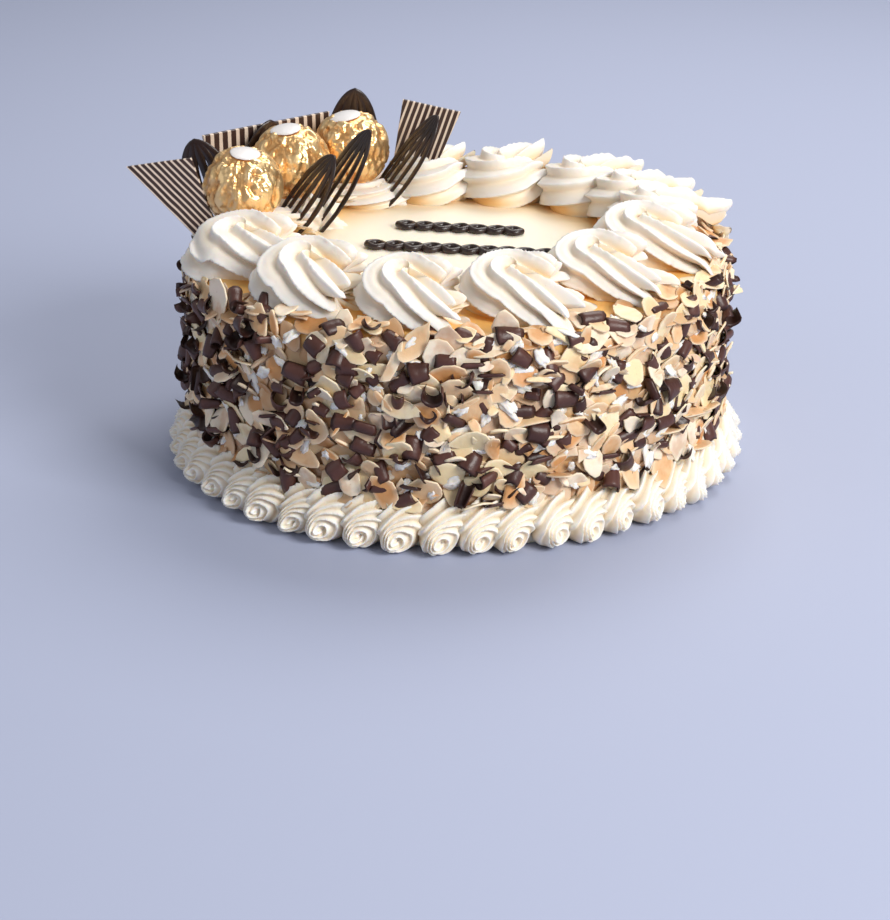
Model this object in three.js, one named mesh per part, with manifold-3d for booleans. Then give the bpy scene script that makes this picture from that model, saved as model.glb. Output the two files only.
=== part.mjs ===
// A round hazelnut cream cake, uncut, standing on its own flat underside.
// Millimetres, +Z up. The origin is the centre of the underside and -Y is the front of the cake.

import * as THREE from 'three';
import { mergeVertices } from 'three/addons/utils/BufferGeometryUtils.js';
import Module from 'manifold-3d';

const wasm = await Module();
wasm.setup();

// ---- driving dimensions -----------------------------------------------------------------------

const GAP = 0.3; // clearance between pieces that touch
const CUT = 0.5; // growth of a cutter, which leaves that gap on its sloping faces too
const CAKE_RADIUS = 106; // cream side, under the nuts
const CAKE_HEIGHT = 83.5; // flat top, above the underside
const RIM_ROUND = 7; // rounding of the top edge
const CAKE_SIDES = 72;

const COAT_TOP = 77; // the nut and chocolate coat, from above the border to the rim
const COAT_BOTTOM = 26;
const COAT_ROWS = 5;
const COAT_COLUMNS = 14;
const ALMOND = { length: 16, width: 11, thickness: 1.4 };
const CURL = { length: 9, radius: 3.3, thickness: 1.1, turn: 3.6 };

const BORDER = { shells: 48, columns: 4, inner: CAKE_RADIUS + GAP, outer: 118, height: 17.5, tooth: 3.2 };

// A rosette is one star-shaped rope laid in a hairpin: a short start, a round head and a long tail.
const ROPE = { width: 13.6, height: 13, centre: 7.6, groove: 0.66 };
const HEAD_RADIUS = 7.6;
const START_LENGTH = 11;
const TAIL_LENGTH = 21;
const POINTS = 3; // reach of the torn points beyond the end of the tail
const PIPED = { lobes: 7, steps: 8 };
const PRESSED = { lobes: 5, steps: 6 }; // flattened under the balls
const PIVOT_CLEAR = 0.8; // half of the slot that the rope leaves at the middle of its turn

// Where each rosette turns, where its tail points (degrees), its size, how high it stands and how
// much of that height its tail keeps. They go round from behind the balls by the left and the
// front to the back, and each one lies on the one before it.
const ROSETTES = [
  { x: -38, y: 69, tail: 32, size: 1, tall: 0.52, end: 0.8, form: PRESSED },
  { x: -66, y: 47, tail: 10, size: 1, tall: 0.5, end: 0.8, form: PRESSED },
  { x: -84, y: 18, tail: -12, size: 1, tall: 0.55, end: 0.8, form: PRESSED },
  { x: -82.5, y: -18, tail: -30, size: 1.06, tall: 1, end: 0.75, form: PIPED },
  { x: -55.5, y: -54, tail: -36, size: 1.06, tall: 1.02, end: 0.7, form: PIPED },
  { x: -18, y: -72, tail: -28, size: 1.02, tall: 0.98, end: 0.62, form: PIPED },
  { x: 22, y: -69, tail: -21, size: 1.06, tall: 1, end: 0.6, form: PIPED },
  { x: 54.5, y: -44, tail: -22, size: 1.04, tall: 1, end: 0.62, form: PIPED },
  { x: 75.5, y: -8, tail: -17, size: 1.04, tall: 1.03, end: 0.7, form: PIPED },
  { x: 82, y: 20, tail: -4, size: 1, tall: 0.97, end: 0.9, form: PIPED },
  { x: 74, y: 40, tail: 8, size: 1, tall: 1, end: 0.95, form: PIPED },
  { x: 54.5, y: 58, tail: 16, size: 1, tall: 1.02, end: 1, form: PIPED },
  { x: 21, y: 71.5, tail: 27, size: 1, tall: 1, end: 1.05, form: PIPED },
  { x: -12, y: 74, tail: 30, size: 0.96, tall: 0.92, end: 1, form: PIPED },
];

const BALL_RADIUS = 16.2;
const BALL_CRUMPLE = 0.035;
const BALLS = [
  { x: -86.5, y: 16, z: 104.5 },
  { x: -68.8, y: 47, z: 106 },
  { x: -44.6, y: 72, z: 105 },
];
const LABEL = { width: 12.4, depth: 13.6, thickness: 0.5, lean: 0.12, sunk: 1.4 };

// Chocolate petals: a pointed arch of ribs that meet at the tip.
const PETAL = { width: 22, thickness: 1.8, ribs: 5, rib: 2.1, curve: 0.012 };
const PETALS = [
  { foot: [-97, 34, 84], tip: [-107.5, 33, 119.5], facing: [-0.2, -1, 0.1] },
  { foot: [-82.5, 61.5, 84], tip: [-78, 63, 119.5], facing: [0.6, -0.8, 0] },
  { foot: [-46, 92, 84], tip: [-43.3, 91, 126], facing: [0.1, -1, 0] },
  { foot: [-69.5, 23, 84], tip: [-49.6, 21, 115.8], facing: [0.25, -1, 0.1] },
  { foot: [-57, 29, 84], tip: [-35, 26, 125.4], facing: [0.3, -1, 0.1] },
  { foot: [-25.5, 65, 84], tip: [-6.5, 61, 121.6], facing: [0.3, -1, 0.1] },
];

// Striped chocolate panels: left, back and right. Corners go round from the top left.
const PANEL_THICKNESS = 1.6;
const PANELS = [
  { corners: [[-132.2, 8, 115], [-106, 8, 118.6], [-95.5, 8, 84], [-106.2, 8, 86.5]] },
  { corners: [[-105.3, 48, 116.8], [-54.8, 88, 116.8], [-59.3, 84.5, 84], [-100.8, 51.6, 84]] },
  { corners: [[-22.4, 74, 125.6], [2.2, 74, 120.2], [-14, 74, 84], [-29, 74, 84]] },
];

// Two rows of a piped twist, each a pair of wavy strands that cross.
const STRAND = 1.35; // radius of a piped chocolate strand
const TWISTS = [
  { from: [-24, 27], to: [27, 18], swing: 2.8, waves: 3.5 },
  { from: [-36, 1], to: [39, -12], swing: 3.1, waves: 5 },
];

const CREAM_DABS = [
  { x: -60, y: 27, wide: 15, deep: 9, tall: 8 },
  { x: -29, y: 61, wide: 9, deep: 6.5, tall: 7 },
];

// ---- colours ----------------------------------------------------------------------------------

const COLOURS = {
  cream: { color: 0xf6efe2, roughness: 0.5 },
  coat: { color: 0xc9a27c, roughness: 0.6 },
  foil: { color: 0xc08a3c, roughness: 0.3, metalness: 1 },
  label: { color: 0xf4f1ec, roughness: 0.5 },
  chocolate: { color: 0x2b1a15, roughness: 0.35 },
  striped: { color: 0x8a7666, roughness: 0.4 },
};

// ---- helpers ----------------------------------------------------------------------------------

const rad = THREE.MathUtils.degToRad;

// a fixed sequence of numbers between 0 and 1
function sequence(seed) {
  let state = seed;
  return () => {
    state = (state * 1664525 + 1013904223) % 4294967296;
    return state / 4294967296;
  };
}

// welds the corners that coincide and turns every face outwards
function welded(geometry) {
  const bare = geometry.clone();
  bare.deleteAttribute('normal');
  bare.deleteAttribute('uv');
  const joined = mergeVertices(bare, 1e-4);
  const position = joined.attributes.position;
  const index = Array.from(joined.index.array);
  const corner = [new THREE.Vector3(), new THREE.Vector3(), new THREE.Vector3()];
  const kept = [];
  let volume = 0;
  for (let i = 0; i < index.length; i += 3) {
    const [a, b, c] = index.slice(i, i + 3);
    if (a === b || b === c || c === a) continue;
    kept.push(a, b, c);
    [a, b, c].forEach((v, k) => corner[k].fromBufferAttribute(position, v));
    volume += corner[0].dot(corner[1].clone().cross(corner[2]));
  }
  if (volume < 0) kept.reverse();
  joined.setIndex(kept);
  return joined;
}

function solid(geometry) {
  const closed = welded(geometry);
  return new wasm.Manifold(new wasm.Mesh({
    numProp: 3,
    vertProperties: new Float32Array(closed.attributes.position.array),
    triVerts: new Uint32Array(closed.index.array),
  }));
}

// the same form with its faces moved out, for cutting its neighbours
function cutter(geometry, growth) {
  const closed = welded(geometry);
  closed.computeVertexNormals();
  const { position, normal } = closed.attributes;
  const [point, out] = [new THREE.Vector3(), new THREE.Vector3()];
  for (let i = 0; i < position.count; i += 1) {
    point.fromBufferAttribute(position, i);
    out.fromBufferAttribute(normal, i);
    point.addScaledVector(out, growth);
    position.setXYZ(i, point.x, point.y, point.z);
  }
  return solid(closed);
}

function surface(body) {
  const mesh = body.getMesh();
  const geometry = new THREE.BufferGeometry();
  geometry.setAttribute('position', new THREE.BufferAttribute(mesh.vertProperties, 3));
  geometry.setIndex(new THREE.BufferAttribute(mesh.triVerts, 1));
  geometry.computeVertexNormals();
  return geometry;
}

// drops loose scraps
function largestPart(body) {
  const parts = body.decompose();
  return parts.reduce((largest, part) => (part.volume() > largest.volume() ? part : largest));
}

function trimmed(body, cutters) {
  return largestPart(cutters.reduce((left, cutter) => left.subtract(cutter), body));
}

// moves every vertex of a geometry by a function of its position
function shaped(geometry, place) {
  const position = geometry.attributes.position;
  const point = new THREE.Vector3();
  for (let i = 0; i < position.count; i += 1) {
    point.fromBufferAttribute(position, i);
    place(point);
    position.setXYZ(i, point.x, point.y, point.z);
  }
  return geometry;
}

const cake = new THREE.Group();

function add(name, body, colour) {
  const mesh = new THREE.Mesh(surface(body), new THREE.MeshStandardMaterial(COLOURS[colour]));
  mesh.name = name;
  cake.add(mesh);
}

// ---- cake body: cream cylinder with almond flakes and chocolate curls on its side -------------

function creamCore(grow) {
  const outer = CAKE_RADIUS + grow;
  const top = CAKE_HEIGHT + grow;
  const profile = [new THREE.Vector2(0, 0), new THREE.Vector2(outer, 0)];
  for (const turn of [0, 45, 90]) {
    profile.push(new THREE.Vector2(
      outer - RIM_ROUND * (1 - Math.cos(rad(turn))),
      top - RIM_ROUND * (1 - Math.sin(rad(turn))),
    ));
  }
  profile.push(new THREE.Vector2(0, top));
  const lathe = new THREE.LatheGeometry(profile, CAKE_SIDES);
  return solid(lathe.rotateX(Math.PI / 2));
}

function almondFlake(size) {
  const flake = new THREE.CylinderGeometry(1, 1, ALMOND.thickness, 8);
  return shaped(flake, (p) => {
    const narrow = 1 - 0.3 * p.x;
    p.set(p.x * size * ALMOND.length / 2, p.y, p.z * size * narrow * ALMOND.width / 2);
  });
}

function chocolateCurl(size) {
  const arc = new THREE.Shape();
  const inner = CURL.radius - CURL.thickness;
  const steps = 3;
  for (let i = 0; i <= steps; i += 1) {
    const turn = CURL.turn * i / steps;
    const [x, y] = [CURL.radius * Math.cos(turn), CURL.radius * Math.sin(turn)];
    if (i === 0) arc.moveTo(x, y);
    else arc.lineTo(x, y);
  }
  for (let i = steps; i >= 0; i -= 1) {
    const turn = CURL.turn * i / steps;
    arc.lineTo(inner * Math.cos(turn), inner * Math.sin(turn));
  }
  const depth = CURL.length * size;
  const curl = new THREE.ExtrudeGeometry(arc, { depth, bevelEnabled: false });
  return curl.translate(0, -CURL.radius * 0.55, -depth / 2);
}

// one flake or curl on the side, at an azimuth and a height, turned and tipped
function onSide(geometry, azimuth, height, reach, spin, tip, lean) {
  const turn = new THREE.Matrix4().makeRotationY(spin);
  const tilt = new THREE.Matrix4().makeRotationFromEuler(new THREE.Euler(tip, 0, lean));
  const upright = new THREE.Matrix4().makeRotationZ(-Math.PI / 2); // its face looks along +X
  const out = new THREE.Matrix4().makeTranslation(reach, 0, height);
  const round = new THREE.Matrix4().makeRotationZ(azimuth);
  const place = round.multiply(out).multiply(upright).multiply(tilt).multiply(turn);
  return geometry.applyMatrix4(place);
}

function cakeBody() {
  const random = sequence(7);
  const pieces = [];
  for (let row = 0; row < COAT_ROWS; row += 1) {
    for (let column = 0; column < COAT_COLUMNS; column += 1) {
      const azimuth = 2 * Math.PI * (column + 0.5 * (row % 2) + 0.3 * random()) / COAT_COLUMNS;
      const share = (row + 0.2 + 0.6 * random()) / COAT_ROWS;
      const height = COAT_BOTTOM + share * (COAT_TOP - COAT_BOTTOM);
      const size = 0.85 + 0.4 * random();
      const darker = 0.48 - 0.12 * Math.cos(azimuth);
      const spin = 2 * Math.PI * random();
      const tip = 0.6 * (random() - 0.5);
      const lean = 0.6 * (random() - 0.5);
      if (random() < darker) {
        const curl = chocolateCurl(size);
        pieces.push(solid(onSide(curl, azimuth, height, CAKE_RADIUS + 1.2, spin, 0, 0)));
      } else {
        const flake = almondFlake(size);
        pieces.push(solid(onSide(flake, azimuth, height, CAKE_RADIUS + 0.9, spin, tip, lean)));
      }
    }
  }
  return largestPart(pieces.reduce((body, piece) => body.add(piece), creamCore(0)));
}

// ---- border of small piped shells round the foot ----------------------------------------------

function shellBorder() {
  const { shells, columns, inner, outer, height, tooth } = BORDER;
  const bulge = outer - inner;
  const profile = [
    [inner, 0], [inner + 0.55 * bulge, 0], [inner + 0.85 * bulge, 0.22 * height],
    [inner + 0.8 * bulge, 0.55 * height], [inner + 0.5 * bulge, height],
    [inner, 0.86 * height], [inner, 0],
  ].map(([r, z]) => new THREE.Vector2(r, z));
  const ring = new THREE.LatheGeometry(profile, shells * columns).rotateX(Math.PI / 2);
  return solid(shaped(ring, (p) => {
    const round = Math.hypot(p.x, p.y);
    const outwards = (round - inner) / bulge;
    if (outwards < 0.01) return;
    const turn = Math.atan2(p.y, p.x) * shells;
    const column = Math.round(turn / (2 * Math.PI) * columns);
    const belly = Math.cos(turn / 2) ** 2;
    const ridge = column % 2 ? 1 : 0;
    const lift = p.z > 0.9 * height ? tooth * ridge : 0;
    const swell = 1 + outwards * (0.26 * belly - 0.16 + 0.05 * ridge);
    const grown = inner + (round - inner) * swell;
    p.set(p.x * grown / round, p.y * grown / round, p.z + lift);
  }));
}

// ---- rosettes ---------------------------------------------------------------------------------

// how far the rounded rim falls below the top at a radius
function rimDrop(radius) {
  const beyond = THREE.MathUtils.clamp(radius - (CAKE_RADIUS - RIM_ROUND), 0, 0.86 * RIM_ROUND);
  return RIM_ROUND - Math.sqrt(RIM_ROUND ** 2 - beyond ** 2);
}

// the hairpin: a point, a heading and the outward side at a distance along it
function hairpin(distance) {
  const turnLength = Math.PI * HEAD_RADIUS;
  if (distance < START_LENGTH) {
    return { x: START_LENGTH - distance, y: HEAD_RADIUS, ahead: [-1, 0], side: [0, 1] };
  }
  if (distance < START_LENGTH + turnLength) {
    const turn = (distance - START_LENGTH) / HEAD_RADIUS;
    const [s, c] = [Math.sin(turn), Math.cos(turn)];
    return { x: -HEAD_RADIUS * s, y: HEAD_RADIUS * c, ahead: [-c, -s], side: [-s, c] };
  }
  return { x: distance - START_LENGTH - turnLength, y: -HEAD_RADIUS, ahead: [1, 0], side: [0, -1] };
}

// how far a point of an end section is pulled out along the rope: torn off in points and hollow
function tornEnd(share, onWall, peak) {
  if (share < 0.001) return onWall ? 0 : POINTS;
  if (share < 0.999) return 0;
  if (!onWall) return -1.6 * POINTS;
  return peak ? POINTS : -POINTS / 2;
}

// the ends are torn, or blunt and full on a form that is for cutting
function rosetteForm({ x: atX, y: atY, tail, size, tall, end, form }, blunt = false) {
  const points = 2 * form.lobes;
  const length = START_LENGTH + Math.PI * HEAD_RADIUS + TAIL_LENGTH;
  const tube = new THREE.CylinderGeometry(1, 1, 1, points, form.steps);
  const middle = new THREE.Vector2(atX, atY);
  const along = new THREE.Vector2(Math.cos(rad(tail)), Math.sin(rad(tail)));
  const inward = new THREE.Vector2(-along.y, along.x);
  if (inward.dot(middle) > 0) inward.negate();
  return shaped(tube, (p) => {
    const share = 0.5 - p.y;
    const angle = Math.atan2(p.x, p.z);
    const onWall = Math.hypot(p.x, p.z) > 0.5;
    const peak = Math.round(angle / (2 * Math.PI) * points) % 2 === 0;
    const taper = 1 - 0.28 * Math.exp(-8 * share) - 0.2 * Math.exp(-9 * (1 - share));
    const height = tall * (1 + (end - 1) * share ** 2);
    const reach = onWall ? (peak ? 1 : ROPE.groove) * taper : 0;
    let sideways = reach * ROPE.width * Math.sin(angle);
    sideways = Math.max(sideways, PIVOT_CLEAR - HEAD_RADIUS);
    const up = Math.max(ROPE.centre + reach * ROPE.height * Math.cos(angle), 0);
    const line = hairpin(share * length);
    const forward = blunt ? (share > 0.999 ? POINTS : 0) : tornEnd(share, onWall, peak);
    const x = size * (line.x + line.ahead[0] * forward + line.side[0] * sideways);
    const y = size * (line.y + line.ahead[1] * forward + line.side[1] * sideways);
    const flat = middle.clone().addScaledVector(along, x).addScaledVector(inward, y);
    const base = CAKE_HEIGHT + GAP - rimDrop(flat.length());
    p.set(flat.x, flat.y, base + up * height);
  });
}

// ---- foil balls with their bare oval labels ---------------------------------------------------

function ball({ x, y, z }) {
  const random = sequence(Math.round(100 + x));
  const sphere = welded(new THREE.IcosahedronGeometry(BALL_RADIUS, 2));
  shaped(sphere, (p) => p.multiplyScalar(1 - BALL_CRUMPLE * random()));
  return solid(sphere.translate(x, y, z));
}

// a coarser ball that encloses the foil one, for the hollow that it presses into the cream
function ballHollow({ x, y, z }) {
  return solid(new THREE.IcosahedronGeometry(BALL_RADIUS * 1.09, 1).translate(x, y, z));
}

// puts a flat piece that is drawn upright along +Y at the origin on top of a ball
function onBall(geometry, { x, y, z }) {
  const up = new THREE.Vector3(0, -Math.sin(LABEL.lean), Math.cos(LABEL.lean));
  const seat = up.multiplyScalar(BALL_RADIUS - LABEL.sunk);
  geometry.rotateX(Math.PI / 2 + LABEL.lean);
  return solid(geometry.translate(x + seat.x, y + seat.y, z + seat.z));
}

function label(place) {
  const disc = new THREE.CylinderGeometry(1, 1, LABEL.thickness, 12);
  disc.translate(0, LABEL.thickness / 2, 0);
  return onBall(disc.scale(LABEL.width / 2, 1, LABEL.depth / 2), place);
}

// what is cut off the top of a ball, down to the flat that its label lies on
function labelSeat(place) {
  const side = BALL_RADIUS;
  const block = new THREE.BoxGeometry(side, side, side);
  return onBall(block.translate(0, side / 2 - GAP, 0), place);
}

// ---- chocolate petals -------------------------------------------------------------------------

// the half width of the pointed arch at a share of its height
function archHalfWidth(share) {
  return PETAL.width / 2 * (1 - share ** 2.1) ** 0.8;
}

function petalOutline(length) {
  const steps = 6;
  const rightSide = [];
  for (let i = 0; i < steps; i += 1) {
    const share = (i / steps) ** 0.8;
    rightSide.push(new THREE.Vector2(archHalfWidth(share), share * length));
  }
  const leftSide = rightSide.map(({ x, y }) => new THREE.Vector2(-x, y)).reverse();
  return new THREE.Shape([...rightSide, new THREE.Vector2(0, length), ...leftSide]);
}

// the open gaps between ribs, each a long wedge that closes below the tip
function petalGaps(length) {
  const rib = (share, number) => {
    const reach = archHalfWidth(share) - PETAL.rib / 2;
    return reach * (2 * number / (PETAL.ribs - 1) - 1);
  };
  const gaps = [];
  for (let gap = 0; gap < PETAL.ribs - 1; gap += 1) {
    const left = (share) => rib(share, gap) + PETAL.rib / 2;
    const right = (share) => rib(share, gap + 1) - PETAL.rib / 2;
    const hole = new THREE.Path();
    const low = 0.05 + 0.011 * gap; // no two gaps start level
    const middle = low + 0.36;
    const high = low + 0.68;
    hole.moveTo(left(low), low * length);
    hole.lineTo(right(low), low * length);
    hole.lineTo(right(middle), middle * length);
    hole.lineTo((left(high) + right(high)) / 2, high * length);
    hole.lineTo(left(middle), middle * length);
    gaps.push(hole);
  }
  return gaps;
}

// puts a petal that is drawn upright at the origin where it stands, and returns its length
function standUp({ foot, tip, facing }) {
  const base = new THREE.Vector3(...foot);
  const up = new THREE.Vector3(...tip).sub(base);
  const length = up.length();
  up.normalize();
  const front = new THREE.Vector3(...facing);
  front.addScaledVector(up, -front.dot(up)).normalize();
  const right = up.clone().cross(front);
  return { length, place: new THREE.Matrix4().makeBasis(right, up, front).setPosition(base) };
}

function petal(where) {
  const { length, place } = standUp(where);
  const outline = petalOutline(length);
  outline.holes.push(...petalGaps(length));
  const plate = new THREE.ExtrudeGeometry(outline, { depth: PETAL.thickness, bevelEnabled: false });
  plate.translate(0, 0, -PETAL.thickness / 2);
  shaped(plate, (p) => {
    p.z -= PETAL.curve * (p.x ** 2);
  });
  return solid(plate.applyMatrix4(place));
}

// the slot that a petal leaves in cream
function petalSlot(where) {
  const { length, place } = standUp(where);
  const bow = PETAL.curve * (PETAL.width / 2) ** 2;
  const deep = PETAL.thickness + bow + 2 * CUT;
  const slot = new THREE.BoxGeometry(PETAL.width + 2 * CUT, 1.4 * length, deep);
  return solid(slot.translate(0, 0.4 * length, -bow / 2).applyMatrix4(place));
}

// ---- striped chocolate panels -----------------------------------------------------------------

function panel({ corners }, grow) {
  const [a, b, c, d] = corners.map((corner) => new THREE.Vector3(...corner));
  const across = b.clone().sub(a).normalize();
  const down = c.clone().add(d).sub(a).sub(b);
  const front = across.clone().cross(down).normalize();
  const middle = a.clone().add(b).add(c).add(d).multiplyScalar(0.25);
  const box = new THREE.BoxGeometry(2, 2, PANEL_THICKNESS + 2 * grow);
  return solid(shaped(box, (p) => {
    const corner = p.y > 0 ? (p.x < 0 ? a : b) : (p.x < 0 ? d : c);
    const outwards = corner.clone().sub(middle).normalize().multiplyScalar(1.6 * grow);
    p.copy(front.clone().multiplyScalar(p.z).add(corner).add(outwards));
  }));
}

// ---- piped chocolate twist on the top ---------------------------------------------------------

function strand({ from, to, swing, waves }, phase) {
  const start = new THREE.Vector2(...from);
  const way = new THREE.Vector2(...to).sub(start);
  const side = new THREE.Vector2(-way.y, way.x).normalize();
  const steps = Math.round(waves * 4);
  const square = 4; // sides of the strand, which lies on one of them
  const tube = new THREE.CylinderGeometry(STRAND, STRAND, 1, square, steps).rotateY(Math.PI / square);
  return solid(shaped(tube, (p) => {
    const share = p.y + 0.5;
    const turn = 2 * Math.PI * waves * share + phase;
    const slope = Math.cos(turn) * swing * 2 * Math.PI * waves / way.length();
    const length = Math.hypot(1, slope);
    const swingAt = swing * Math.sin(turn) + p.x / length;
    const ahead = share - p.x * slope / length / way.length();
    const flat = start.clone().addScaledVector(way, ahead).addScaledVector(side, swingAt);
    p.set(flat.x, flat.y, CAKE_HEIGHT + GAP + STRAND * Math.SQRT1_2 + p.z);
  }));
}

function twist(row) {
  return strand(row, 0).add(strand(row, Math.PI));
}

// ---- cream dabs that hold the chocolate -------------------------------------------------------

function creamDab({ x, y, wide, deep, tall }) {
  const dome = new THREE.SphereGeometry(1, 8, 5).rotateX(Math.PI / 2).scale(wide, deep, tall);
  return solid(dome.translate(x, y, CAKE_HEIGHT));
}

// ---- assembly ---------------------------------------------------------------------------------

add('cake_body', cakeBody(), 'coat');
add('shell_border', shellBorder(), 'cream');

const table = creamCore(GAP);
const standing = [
  ...BALLS.map(ballHollow),
  ...PETALS.map(petalSlot),
  ...PANELS.map((place) => panel(place, CUT)),
];

const rosetteCutters = ROSETTES.map((place) => cutter(rosetteForm(place, true), 1.6 * CUT));
ROSETTES.forEach((place, i) => {
  const whole = solid(rosetteForm(place));
  const later = rosetteCutters.slice(i + 1).filter((other) => !whole.intersect(other).isEmpty());
  const body = trimmed(whole, [table, ...later, ...standing]);
  add(`rosette_${String(i + 1).padStart(2, '0')}`, body, 'cream');
});

CREAM_DABS.forEach((place, i) => {
  const body = trimmed(creamDab(place), [table, ...rosetteCutters, ...standing]);
  add(`cream_dab_${i + 1}`, body, 'cream');
});

BALLS.forEach((place, i) => {
  add(`foil_ball_${i + 1}`, trimmed(ball(place), [labelSeat(place)]), 'foil');
  add(`ball_label_${i + 1}`, label(place), 'label');
});

PETALS.forEach((place, i) => {
  add(`chocolate_petal_${i + 1}`, petal(place).subtract(table), 'chocolate');
});
PANELS.forEach((place, i) => add(`striped_panel_${i + 1}`, panel(place, 0), 'striped'));
TWISTS.forEach((row, i) => add(`piped_twist_${i + 1}`, twist(row), 'chocolate'));

export default cake;
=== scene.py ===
# %% [markdown]
# # A hazelnut cream cake, dressed in Blender
#
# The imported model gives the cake's plain solids, in metres, with the origin under its middle.
# This lesson dresses each solid: piped cream, nut flakes, chocolate curls, crumpled foil and
# striped chocolate. Run the cells from top to bottom, and read what each one prints.

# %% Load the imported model
import math

import bmesh
import bpy
from mathutils import Matrix, Vector


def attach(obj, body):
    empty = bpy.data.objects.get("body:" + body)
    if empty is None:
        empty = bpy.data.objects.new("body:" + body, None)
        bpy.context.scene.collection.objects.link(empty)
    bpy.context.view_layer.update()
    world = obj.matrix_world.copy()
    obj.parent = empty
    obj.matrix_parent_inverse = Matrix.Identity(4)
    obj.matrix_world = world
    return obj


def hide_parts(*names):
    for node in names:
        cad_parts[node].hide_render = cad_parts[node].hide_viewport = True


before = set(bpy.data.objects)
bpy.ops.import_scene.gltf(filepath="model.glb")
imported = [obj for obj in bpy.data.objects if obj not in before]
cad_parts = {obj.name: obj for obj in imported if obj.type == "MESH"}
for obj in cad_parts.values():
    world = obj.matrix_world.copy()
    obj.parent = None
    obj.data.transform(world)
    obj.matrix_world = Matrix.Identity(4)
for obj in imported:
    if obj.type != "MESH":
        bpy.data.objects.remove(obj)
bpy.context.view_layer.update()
MM = 0.001  # the rules below are written in millimetres, as a pastry cook measures
FULL_TURN = 2 * math.pi

# %% [markdown]
# ## Camera
#
# The picture looks down on the cake from about 23 degrees, with a long lens. A long lens keeps the
# far rosettes almost as large as the near ones. The eye and the spot it looks at could be turned by
# hand, but two points and a track quaternion give the same view on every run.

# %% Camera
EYE = Vector((-0.00455, -0.91023, 0.37919))
LOOKED_AT = Vector((-0.00455, -0.005, -0.00722))
LENS = 92.62
scene = bpy.context.scene
camera = bpy.data.objects.new("camera", bpy.data.cameras.new("camera"))
scene.collection.objects.link(camera)
scene.camera = camera
camera.data.sensor_width = 36
camera.data.lens = LENS
camera.location = EYE
look = LOOKED_AT - EYE
camera.rotation_euler = look.to_track_quat("-Z", "Y").to_euler()
camera.data.clip_start = 0.01
print("camera stands", round(look.length, 3), "m from the cake")

# %% [markdown]
# ## Floor and light
#
# The light comes from one large soft window at the right and front, so the left side of the cake
# falls into a gentle shade. One area lamp does that. A second one behind brightens the far rim,
# and a weak one at the left and a pale world keep the shade open. A sky picture could light it too,
# but lamps need no file and can be moved one at a time. The floor is a plain pale sheet.

# %% Floor and lamps
scene.view_settings.view_transform = "Standard"


def lamp(name, place, target, size, power, colour):
    """A square soft lamp that shines at a target."""
    light = bpy.data.lights.new(name, "AREA")
    light.shape = "SQUARE"
    light.size = size
    light.energy = power
    light.color = colour
    made = bpy.data.objects.new(name, light)
    made.location = place
    made.rotation_euler = (Vector(target) - made.location).to_track_quat("-Z", "Y").to_euler()
    scene.collection.objects.link(made)


lamp("window", (1.0, -0.98, 0.92), (0, 0, 0.05), 0.7, 25.5, (1, 0.98, 0.95))
lamp("back_window", (0.3, 0.65, 1.0), (0, 0, 0.08), 0.8, 9.5, (1, 0.97, 0.93))
lamp("left_bounce", (-0.9, -0.3, 0.5), (0, 0, 0.05), 0.8, 1.0, (0.93, 0.95, 1))

world = bpy.data.worlds.new("studio")
scene.world = world
world.use_nodes = True
sky = world.node_tree.nodes["Background"]
sky.inputs["Color"].default_value = (0.90, 0.93, 1, 1)
sky.inputs["Strength"].default_value = 0.31

bpy.ops.mesh.primitive_plane_add(size=12)
floor = bpy.context.object
floor.name = "floor"
floor_finish = bpy.data.materials.new("pale_floor")
floor_finish.use_nodes = True
floor_shader = floor_finish.node_tree.nodes["Principled BSDF"]
floor_shader.inputs["Base Color"].default_value = (0.40, 0.44, 0.59, 1)
floor_shader.inputs["Roughness"].default_value = 0.7
floor.data.materials.append(floor_finish)

# %% [markdown]
# ## Sums written with nodes
#
# Almost everything on this cake follows a rule: a rope of cream follows a hairpin, a shell sits
# every few degrees, a flake lies at a random turn. Geometry Nodes can hold such a rule, but a long
# rule is hard to read as a picture of boxes. So a small class stands for "the number that this
# socket puts out", and Python's own + - * / place the Math nodes. The trees stay ordinary node
# trees with named inputs, which can be opened and changed in the editor.

# %% A number that a node puts out
class Field:
    """A number or vector that changes over a shape, so that a rule reads as plain sums."""

    def __init__(self, tree, socket):
        self.tree = tree
        self.socket = socket

    def __add__(self, other): return maths("ADD", self, other)
    def __radd__(self, other): return maths("ADD", other, self)
    def __sub__(self, other): return maths("SUBTRACT", self, other)
    def __rsub__(self, other): return maths("SUBTRACT", other, self)
    def __mul__(self, other): return maths("MULTIPLY", self, other)
    def __rmul__(self, other): return maths("MULTIPLY", other, self)
    def __truediv__(self, other): return maths("DIVIDE", self, other)
    def __pow__(self, other): return maths("POWER", self, other)
    def __neg__(self): return maths("MULTIPLY", self, -1.0)


def plug(tree, source, target):
    """Feeds an input with a field or with a plain value."""
    if isinstance(source, Field):
        tree.links.new(source.socket, target)
    else:
        target.default_value = source


def add_node(tree, kind, inputs=None, **settings):
    """A node with its settings, and its inputs by name or number."""
    made = tree.nodes.new(kind)
    for key, value in settings.items():
        setattr(made, key, value)
    for key, value in (inputs or {}).items():
        plug(tree, value, made.inputs[key])
    return made


def step(tree, kind, inputs=None, **settings):
    """One node of a rule, as the first thing that it puts out."""
    return Field(tree, add_node(tree, kind, inputs, **settings).outputs[0])


def maths(operation, *values):
    """A Math node on fields and plain numbers."""
    tree = next(v.tree for v in values if isinstance(v, Field))
    return step(tree, "ShaderNodeMath", dict(enumerate(values)), operation=operation)


print("a Field can be added, taken away, multiplied, divided and raised to a power")

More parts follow.
